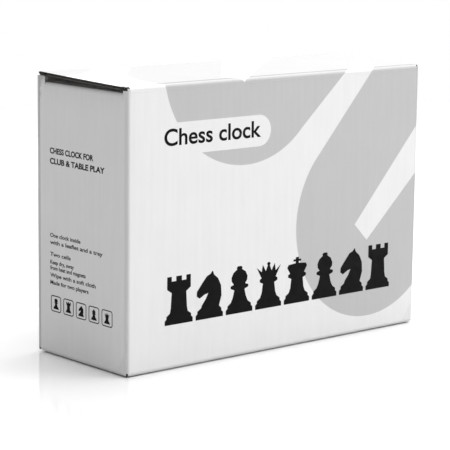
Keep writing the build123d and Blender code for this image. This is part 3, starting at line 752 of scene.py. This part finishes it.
def carton_walls():
    """Printed and inner liners of the four walls, from the floor creases to the lid's and flaps' creases."""
    builder = new_builder()
    notch_columns = [(RIGHT + x) / (2 * RIGHT) for x in np.linspace(-NOTCH_RADIUS, NOTCH_RADIUS, 21)]
    wide = sorted(set(list(np.linspace(0, 1, 25)) + notch_columns))
    plain, ends = np.linspace(0, 1, 13), (0, 1)
    arc = BOARD + 0.03 * MM
    pieces = [
        (front_wall, (LEFT, LEFT + arc), (True, False), (FRONT_CUT, ARC_TOP), ends),
        (front_wall, (RIGHT - arc, RIGHT), (False, True), (FRONT_CUT, ARC_TOP), ends),
        (front_wall, (LEFT, RIGHT), (True, True), (0, FRONT_CUT), np.linspace(0, 1, 33)),
        (back_wall, (LEFT, RIGHT), (True, False), (0, BACK_TOP), wide),
        (right_wall, (FRONT, BACK), (True, True), (0, SIDE_CUT), plain),
        (right_wall, (FRONT, FLAP_FRONT - SLOT), (True, False), (SIDE_CUT, CORNER_TOP), ends),
        (right_wall, (FLAP_REAR + SLOT, BACK), (False, True), (SIDE_CUT, CORNER_TOP), ends),
        (left_wall, (FRONT + BOARD, BACK), (False, True), (0, LEFT_CUT), plain),
        (left_wall, (FRONT + BOARD, -FLAP_REAR - SLOT), (False, False), (LEFT_CUT, REAR_CORNER_TOP), ends),
        (left_wall, (SLOT - FLAP_FRONT, BACK), (False, True), (LEFT_CUT, CORNER_TOP), ends),
    ]
    for panel, span, folds, (floor, top), inner in pieces:
        whole = (LEFT, RIGHT) if panel in (front_wall, back_wall) else (FRONT, BACK)
        for outer, depths in ((True, (0.0, LINER)), (False, (BOARD - LINER, BOARD))):
            low, high = span
            if not outer:
                low, high = low + BOARD * folds[0], high - BOARD * folds[1]
            grids = []
            for sunk in depths:
                u, u_drop = steps(low, high, inner, folds[0] and outer, folds[1] and outer, sunk)
                v = wall_rows(max(floor, BOARD), top)
                v_drop = [sunk] * len(v)
                if outer and floor == 0:
                    arc, arc_drop = steps(0, top, [0], True, False, sunk)
                    v, v_drop = list(arc[:-1]) + v, list(arc_drop[:-1]) + v_drop
                grid_u, grid_v = np.meshgrid(u, v)
                if panel is back_wall:
                    share = np.clip((grid_v - NOTCH_BASE) / (BACK_TOP - NOTCH_BASE), 0, 1)
                    grid_v = grid_v - share * (BACK_TOP - notch_top(grid_u))
                bent = (u_drop > sunk + 0.1 * MM)[None, :] & (np.array(v_drop) > sunk)[:, None]
                grid_v = np.where(bent, BOARD, grid_v)
                sink = np.where(bent, u_drop[None, :], np.maximum(u_drop[None, :], np.array(v_drop)[:, None]))
                grids.append((panel.at(grid_u, grid_v, sink), panel.uv(grid_u, grid_v)))
                edge = edge_distance(grid_u, grid_v, whole, (0, TOP))
            slab(builder, grids[0][0], grids[1][0], 0 if outer else 1, grids[0][1], edge)
    end = np.array([RIGHT - 0.5 * MM, RIGHT - 0.02 * MM])
    heights = np.linspace(BOARD, BACK_TOP - 0.3 * MM, 12)
    crushed = [back_wall.at(end[None, :], heights[:, None], depth) for depth in (LINER, BOARD - LINER)]
    slab(builder, *crushed, 2)
    walls = build("carton_walls", builder, [PRINTED, INSIDE, CRUSHED], merge=True)
    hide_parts("front_panel", "left_panel", "right_panel", "back_panel")
    return walls


def flat_board(panel, u_range, v_range, low=None, high=None, counts=(24, 8)):
    """A flat piece of board with cut edges all round: its two liners, without the fluting between, which
    board_piece adds.
    """
    low, high = low or level(v_range[0]), high or level(v_range[1])
    builder = new_builder()
    u = np.linspace(*u_range, counts[0])
    share = np.linspace(0, 1, counts[1])[:, None]
    grid_u = np.broadcast_to(u, (counts[1], counts[0]))
    grid_v = low(u) + (high(u) - low(u)) * share
    edge = np.minimum(grid_u - u_range[0], u_range[1] - grid_u)
    edge = -np.minimum(edge, np.minimum(grid_v - low(u), high(u) - grid_v)).clip(1e-5)
    for top, bottom, material in ((0, LINER, 0), (BOARD - LINER, BOARD, 1)):
        slab(builder, panel.at(grid_u, grid_v, top), panel.at(grid_u, grid_v, bottom), material,
             panel.uv(grid_u, grid_v), edge, side=2)
    return builder


def rounded_ends(u, u_range, end, radius, sign):
    """Edge that stays at end but rounds off towards both ends of u_range; sign is -1 where v shrinks."""
    near = np.minimum(u - u_range[0], u_range[1] - u).clip(0, radius)
    return end + sign * (radius - np.sqrt((radius**2 - (radius - near) ** 2).clip(0)))


def ride(thing, body, node=None):
    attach(thing, body)
    if node:
        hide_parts(node)
    return thing


def board_piece(name, panel, body, u_range, v_range, low=None, high=None, counts=(24, 8),
                materials=(PRINTED, INSIDE, CUT_EDGE_SHADED), inset=0.25 * MM, bend=None):
    """Liners and fluting of one flap, riding on a body and standing for the CAD node of the same name."""
    low, high = low or level(v_range[0]), high or level(v_range[1])
    liners = flat_board(panel, u_range, v_range, low, high, counts)
    board = build(name + "_liners", liners, materials, bend=bend)
    ride(board, body, name)
    middle = add_fluting(
        name + "_fluting", panel, (u_range[0] + inset, u_range[1] - inset),
        lambda u: low(u) + inset, lambda u: high(u) - inset, bend,
    )
    ride(middle, body)
    return board


ride(carton_walls(), "root")
ride(add_fluting("back_panel_fluting", back_wall, (LEFT + BOARD, RIGHT - 0.3 * MM),
                 level(90 * MM), lambda u: notch_top(u) - 0.25 * MM), "root")


# ------------------------------------------------------------------ lid, tuck and dust flaps
def along_slope(angle):
    return (0, math.cos(angle), math.sin(angle))


# The lid springs up a little at the back, and the tuck leans inwards.
LID_FOLD, TUCK_FOLD, DUST_FOLD = math.pi / 2 - LID_TILT, math.radians(105.5), math.pi / 2
LID_SIDE, TUCK_SIDE, TUCK_LENGTH, TUCK_CORNER = 82.1 * MM, 79 * MM, 15 * MM, 9 * MM
DUST_LENGTH = 41.5 * MM
lid_bow = bow(0.3 * MM, (LEFT, RIGHT), (0, LID_REACH))
lid_plane = Panel(LID_HINGE, X, along_slope(LID_TILT), (0, TOP), lid_bow)
tuck_plane = Panel(TUCK_HINGE, X, along_slope(LID_TILT - TUCK_FOLD), (0, TOP + LID_REACH))
left_flap = Panel((LEFT, 0, LEFT_TOP), MINUS_Y, X, TUCKED)
right_flap = Panel((RIGHT, 0, SIDE_TOP), Y, MINUS_X, TUCKED)


def fold_reach(fold, flat=STRIP):
    """How far from the crease's outer corner the board is bent, with the flat stretch of the strip."""
    return BOARD * math.tan(fold / 2) + flat


def moving_crease(name, first, first_top, second, fold, u_range, bodies, flat=STRIP, slack=0.0):
    """The bend between two panels, built where they meet at rest. slack shortens a span from start to end
    that nothing uses.
    """
    reach = fold_reach(fold, flat)
    grids = []
    columns = np.linspace(*u_range, 40)
    for sunk in (0.0, BOARD):
        up, up_drop = steps(first_top - reach, first_top, (0, 1), False, True, sunk, fold)
        on, on_drop = steps(0, reach, (0, 1), True, False, sunk, fold)
        lower = [(first, v, d) for v, d in zip(up, up_drop)]
        upper = [(second, v, d) for v, d in zip(on[1:], on_drop[1:])]
        rows = lower + upper
        grids.append((np.stack([p.at(columns, v, d) for p, v, d in rows]),
                      np.stack([p.uv(columns, v) for p, v, _ in rows])))
    builder = new_builder()
    edge = np.array([abs(v - (first_top if p is first else 0)) for p, v, _ in rows])[:, None] + 0 * columns
    slab(builder, grids[0][0], grids[1][0], 0, grids[0][1], edge, 1, 2)
    strip = build(name, builder, [PRINTED, INSIDE, CUT_EDGE_SHADED], bend=sprung if "lid" in bodies else None)
    start = first.at(np.array(0.0), np.array(first_top - reach), BOARD)
    end = second.at(np.array(0.0), np.array(reach), BOARD)
    end = start + (end - start) * (1 - slack / np.linalg.norm(end - start))
    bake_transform(strip)
    return strip


def flap_end(sign):
    """Free edge of a dust flap, in mm from front to rear, with its slanted front and rounded corners."""
    outline = [(FLAP_FRONT / MM, 2.6), (-24.5, 8.0), (-12.2, 37.5), (-9.6, 40.6), (-5.5, DUST_LENGTH / MM),
               (19.2, DUST_LENGTH / MM), (22.0, 40.6), (23.4, 38.0), (FLAP_REAR / MM, 2.6)]
    y, v = zip(*outline)
    return lambda u: np.interp(-sign * u / MM, y, v) * MM


TUCK_START = LID_REACH - fold_reach(TUCK_FOLD, TUCK_STRIP)
board_piece("lid_panel", lid_plane, "lid", (-LID_SIDE, LID_SIDE), (fold_reach(LID_FOLD), TUCK_START),
            counts=(49, 17), bend=sprung)


def lid_shoulders():
    """The lid's four corners, beside the strips that bend: two at the tuck, two at the front crease."""
    builder = new_builder()
    for side in (-1, 1):
        columns = np.array(sorted((side * LID_SIDE, side * TUCK_SIDE)))
        grids = []
        for sunk in (0.0, BOARD):
            v, drop = steps(TUCK_START, LID_REACH, (0, 1), False, True, sunk, TUCK_FOLD)
            grids.append(lid_plane.at(columns[None, :], v[:, None], drop[:, None]))
            uv = lid_plane.uv(columns[None, :], v[:, None])
        slab(builder, *grids, 0, uv, under=1, side=2)
    for side in (-1, 1):
        columns = np.array(sorted((side * LID_SIDE, side * (RIGHT - 1.58 * MM))))
        v = np.array([0.9 * MM, BOARD, fold_reach(LID_FOLD)])
        grids = [lid_plane.at(columns[None, :], v[:, None], drop[:, None])
                 for drop in (np.array([0.12 * MM, 0, 0]), np.full(3, BOARD))]
        slab(builder, *grids, 0, lid_plane.uv(columns[None, :], v[:, None]), under=1, side=2)
    return build("lid_shoulders", builder, (PRINTED, INSIDE, CUT_EDGE_SHADED), bend=sprung)


ride(lid_shoulders(), "lid")
across_tuck, across_lid = (-TUCK_SIDE, TUCK_SIDE), (LEFT + 1.56 * MM, RIGHT - 1.56 * MM)
board_piece("tuck_flap", tuck_plane, "tuck", across_tuck, (LID_REACH - TUCK_START, TUCK_LENGTH),
            high=lambda u: rounded_ends(u, across_tuck, TUCK_LENGTH, TUCK_CORNER, -1), counts=(81, 4),
            bend=sprung)
left_span, right_span = (-FLAP_REAR, -FLAP_FRONT), (FLAP_FRONT, FLAP_REAR)
for side, panel, span, sign in (("left", left_flap, left_span, 1), ("right", right_flap, right_span, -1)):
    board_piece("dust_flap_" + side, panel, "dust_" + side, span, (fold_reach(DUST_FOLD), DUST_LENGTH),
                high=flap_end(sign), counts=(49, 6))

moving_crease("lid_crease", front_wall, TOP, lid_plane, LID_FOLD, across_lid, ("root", "lid"))
moving_crease("tuck_fold", lid_plane, LID_REACH, tuck_plane, TUCK_FOLD, across_tuck, ("lid", "tuck"),
              TUCK_STRIP, CURL)
moving_crease("dust_fold_left", left_wall, LEFT_TOP, left_flap, DUST_FOLD, left_span, ("root", "dust_left"))
moving_crease("dust_fold_right", right_wall, SIDE_TOP, right_flap, DUST_FOLD, right_span,
              ("root", "dust_right"))


# ------------------------------------------------------------------ black print
INK_GRID = 6        # mm between the cuts that let a film follow its wall


def ink(name, panel, loops):
    """Printed shapes: each loop of (u, v) points becomes a thin film just proud of the panel."""
    work = bmesh.new()
    for loop in loops:
        work.faces.new([work.verts.new((u / MM, v / MM, 0)) for u, v in loop])
    return film(name, panel, work)


def film(name, panel, work):
    """Lays a flat mesh, drawn in mm, on a wall as ink; it is cut up to follow the wall's bulge."""
    work.normal_update()
    bmesh.ops.triangulate(work, faces=work.faces[:])
    for axis, low, high in ((0, -80, 80), (1, 0, 117)):
        for place in range(low, high, INK_GRID):
            point, normal = [0, 0, 0], [0, 0, 0]
            point[axis], normal[axis] = place, 1
            geometry = work.verts[:] + work.edges[:] + work.faces[:]
            bmesh.ops.bisect_plane(work, geom=geometry, plane_co=point, plane_no=normal)
    bmesh.ops.remove_doubles(work, verts=work.verts, dist=1e-4)
    bmesh.ops.dissolve_degenerate(work, edges=work.edges, dist=1e-4)
    work.normal_update()
    for face in work.faces:
        if face.normal.z < 0:
            face.normal_flip()
    work.verts.index_update()
    flat = np.array([v.co[:2] for v in work.verts]) * MM
    faces = [[v.index for v in f.verts] for f in work.faces]
    count = len(flat)
    sides = []
    for edge in work.edges:
        if len(edge.link_faces) == 1:
            loop = edge.link_loops[0]
            a, b = loop.vert.index, loop.link_loop_next.vert.index
            sides.append([b, a, a + count, b + count])
    work.free()
    upper = panel.at(flat[:, 0], flat[:, 1], -INK_LIFT)
    lower = panel.at(flat[:, 0], flat[:, 1], INK_SUNK)
    mesh = bpy.data.meshes.new(name)
    faces = faces + [[i + count for i in reversed(f)] for f in faces] + sides
    mesh.from_pydata([tuple(p) for p in upper] + [tuple(p) for p in lower], [], faces)
    mesh.materials.append(INK)
    return ride(link(name, mesh), "root")


CAPITAL = 0.7       # height of a capital letter of size 1


def writing(name, panel, text, corner, width, height, weight):
    """Words fitted to a width and a capital height, all in mm, their lower left corner at corner."""
    curve = bpy.data.curves.new(name, "FONT")
    curve.body, curve.offset = text, weight
    thing = link(name, curve)
    bpy.context.view_layer.update()
    mesh = bpy.data.meshes.new_from_object(thing.evaluated_get(bpy.context.evaluated_depsgraph_get()))
    bpy.data.objects.remove(thing)
    points = np.array([v.co for v in mesh.vertices])
    low, high = points.min(axis=0), points.max(axis=0)
    work = bmesh.new()
    work.from_mesh(mesh)
    bpy.data.meshes.remove(mesh)
    for vert in work.verts:
        share = (vert.co.x - low[0]) / (high[0] - low[0])
        vert.co = (corner[0] + share * width, corner[1] + vert.co.y / CAPITAL * height, 0)
    return film(name, panel, work)


def both_sides(profile):
    return profile + [(-w, h) for w, h in reversed(profile) if w]


FOOT = [(1.0, 0.0), (1.0, 0.09), (0.88, 0.13), (0.88, 0.18), (0.64, 0.24)]
PIECES = {
    "king": both_sides(FOOT + [
        (0.52, 0.34), (0.45, 0.54), (0.7, 0.58), (0.7, 0.63), (0.55, 0.66), (0.78, 0.79), (0.68, 0.85),
        (0.12, 0.87), (0.12, 0.91), (0.3, 0.91), (0.3, 0.955), (0.12, 0.955), (0.12, 1.0),
    ]),
    "queen": both_sides(FOOT + [
        (0.52, 0.34), (0.44, 0.54), (0.68, 0.58), (0.68, 0.63), (0.54, 0.66), (0.92, 0.9), (0.54, 0.79),
        (0.46, 0.95), (0.22, 0.8), (0.08, 0.92), (0.14, 0.96), (0.0, 1.0),
    ]),
    "bishop": both_sides(FOOT + [
        (0.5, 0.34), (0.38, 0.5), (0.66, 0.54), (0.66, 0.59), (0.42, 0.62), (0.58, 0.69), (0.6, 0.77),
        (0.46, 0.87), (0.18, 0.935), (0.22, 0.97), (0.12, 1.0),
    ]),
    "knight": [
        (-1.0, 0.0), (1.0, 0.0), (1.0, 0.09), (0.88, 0.13), (0.88, 0.18), (0.7, 0.24), (0.88, 0.45),
        (0.84, 0.66), (0.62, 0.82), (0.32, 0.91), (0.22, 1.0), (0.04, 0.93), (-0.2, 0.9), (-0.5, 0.78),
        (-0.92, 0.6), (-0.94, 0.5), (-0.72, 0.45), (-0.35, 0.52), (-0.1, 0.54), (-0.28, 0.42),
        (-0.55, 0.3), (-0.62, 0.24), (-0.88, 0.18), (-0.88, 0.13), (-1.0, 0.09),
    ],
    "rook": both_sides(FOOT + [
        (0.58, 0.34), (0.52, 0.66), (0.84, 0.74), (0.84, 1.0), (0.52, 1.0), (0.52, 0.9), (0.2, 0.9),
        (0.2, 1.0),
    ]),
    "pawn": both_sides(FOOT + [
        (0.48, 0.36), (0.38, 0.52), (0.68, 0.57), (0.68, 0.62), (0.4, 0.65), (0.56, 0.7), (0.64, 0.79),
        (0.6, 0.88), (0.46, 0.95), (0.24, 0.99), (0.0, 1.0),
    ]),
}


def piece_loop(kind, centre, base, width, height):
    return [(centre + w * width / 2, base + h * height) for w, h in PIECES[kind]]


def frame_loops(corner, width, height, line, radius):
    """A rounded square frame, as the quads of its outline."""
    def ring(inset):
        r = radius - inset
        points = []
        for quarter, (cx, cy) in enumerate(((width - radius, height - radius), (radius, height - radius),
                                            (radius, radius), (width - radius, radius))):
            for turn in np.linspace(0, 90, 5):
                angle = math.radians(90 * quarter + turn)
                points.append((corner[0] + cx + r * math.cos(angle), corner[1] + cy + r * math.sin(angle)))
        return points
    outer, inner = ring(0), ring(line)
    return [[outer[i - 1], outer[i], inner[i], inner[i - 1]] for i in range(len(outer))]


ROW = ("rook", "knight", "bishop", "queen", "king", "bishop", "knight", "rook")
ROW_START, ROW_PITCH = -55.6 * MM, 16.4 * MM
ROW_BASE, ROW_WIDTH, ROW_HEIGHT = 18.5 * MM, 14.8 * MM, 20 * MM
for wall, mark in ((front_wall, "front"), (back_wall, "back")):
    centres = [ROW_START + i * ROW_PITCH for i in range(len(ROW))]
    row = [piece_loop(kind, centre, ROW_BASE, ROW_WIDTH, ROW_HEIGHT) for kind, centre in zip(ROW, centres)]
    ink("chess_row_" + mark, wall, row)
    writing("title_" + mark, wall, "Chess clock", (-63.7, 92.2), 51.7, 6.7, 0.017)

# Lines on the sides, in mm: words, base line, width, capital height and weight of the strokes.
SIDE_START = -21.5
SIDE_LINES = [
    ("CHESS CLOCK FOR", 85.3, 29.7, 2.3, 0.032), ("CLUB & TABLE PLAY", 81.0, 37.1, 2.3, 0.032),
    ("One clock inside", 50.2, 21.0, 1.65, 0.02), ("with a leaflet and a tray", 47.2, 35.9, 1.65, 0.02),
    ("Two cells", 42.2, 14.2, 1.65, 0.02), ("Keep dry, away", 38.8, 16.4, 1.65, 0.02),
    ("from heat and magnets", 36.4, 24.5, 1.65, 0.02), ("Wipe with a soft cloth", 33.3, 31.3, 1.65, 0.02),
    ("Made for two players", 30.2, 26.4, 1.65, 0.02),
]
for wall, tag in ((left_wall, "left"), (right_wall, "right")):
    for number, (text, base, width, height, weight) in enumerate(SIDE_LINES):
        writing(f"side_{tag}_{number}", wall, text, (SIDE_START, base), width, height, weight)
    loops = []
    for number, kind in enumerate(("pawn", "rook", "knight", "bishop", "queen")):
        left = (SIDE_START + 0.4 + 8.7 * number) * MM
        loops += frame_loops((left, 18.7 * MM), 7.1 * MM, 6.9 * MM, 0.4 * MM, 1.2 * MM)
        loops.append(piece_loop(kind, left + 3.55 * MM, 19.9 * MM, 3.6 * MM, 4.5 * MM))
    ink(f"side_signs_{tag}", wall, loops)


# ------------------------------------------------------------------ stage, camera, light
FLOOR_BOUNCE = 0.56         # how much light the floor gives back to the carton
FLOOR_HALF = 0.75
FLOOR_Z = -0.3 * MM         # the walls stand clear of the floor, on the slightly bulging bottom flaps
AMBIENT = 0.37


def floor_material():
    material, n, shader = new_material("pale_floor", 0.16, Specular_IOR_Level=0.8)
    own = object_coordinates(n)
    cloud = n.noise(own, 6, 2)
    seen = n.add("ShaderNodeLightPath").outputs["Is Camera Ray"]
    n.feed(shader["Base Color"], n.mix(seen, grey(FLOOR_BOUNCE), n.mix(cloud, grey(0.86), grey(0.88))))
    n.feed(shader["Roughness"], n.ramp(cloud, 0.3, 0.7, 0.1, 0.14))
    return material


floor_mesh = bpy.data.meshes.new("floor")
corners = [(x * FLOOR_HALF, y * FLOOR_HALF, FLOOR_Z) for x, y in ((-1, -1), (1, -1), (1, 1), (-1, 1))]
floor_mesh.from_pydata(corners, [], [(0, 1, 2, 3)])
floor_mesh.materials.append(floor_material())
link("floor", floor_mesh)

CAMERA_PLACE = Vector((-0.55875, -0.63591, 0.19915))
YAW, PITCH, ROLL, LENS = 0.71647, 0.17538, 0.01152, 158.1
ahead = Vector((math.sin(YAW) * math.cos(PITCH), math.cos(YAW) * math.cos(PITCH), -math.sin(PITCH)))
level_right = Vector((math.cos(YAW), -math.sin(YAW), 0))
level_up = level_right.cross(ahead)
turned_right = level_right * math.cos(ROLL) + level_up * math.sin(ROLL)
turned_up = level_up * math.cos(ROLL) - level_right * math.sin(ROLL)
camera_data = bpy.data.cameras.new("camera")
camera_data.lens, camera_data.sensor_width, camera_data.clip_start = LENS, 36, 0.01
camera = link("camera", camera_data)
turned = Matrix((turned_right, turned_up, -ahead)).transposed().to_4x4()
camera.matrix_world = Matrix.Translation(CAMERA_PLACE) @ turned
bpy.context.scene.camera = camera
bpy.context.scene.view_settings.view_transform = "Standard"


def soft_light(name, place, target, size, power):
    data = bpy.data.lights.new(name, "AREA")
    data.shape, data.size, data.size_y, data.energy = "RECTANGLE", size[0], size[1], power
    light = link(name, data)
    aim = (Vector(target) - Vector(place)).to_track_quat("-Z", "Y")
    light.matrix_world = Matrix.Translation(place) @ aim.to_matrix().to_4x4()


soft_light("overhead", (0.3, -0.1, 1.3), (0, 0, 0), (1.6, 1.6), 29.8)
soft_light("front_right", (1.15, -1.2, 0.55), (0.05, 0, 0.04), (0.9, 0.9), 8.2)

world = bpy.data.worlds.new("studio")
bpy.context.scene.world = world
world.use_nodes = True
n = Nodes(world.node_tree)
backdrop = world.node_tree.nodes["Background"]
path = n.add("ShaderNodeLightPath").outputs
seen = n.math("MAXIMUM", path["Is Camera Ray"], path["Is Glossy Ray"])
n.feed(backdrop.inputs["Color"], n.math("MAXIMUM", seen, AMBIENT))
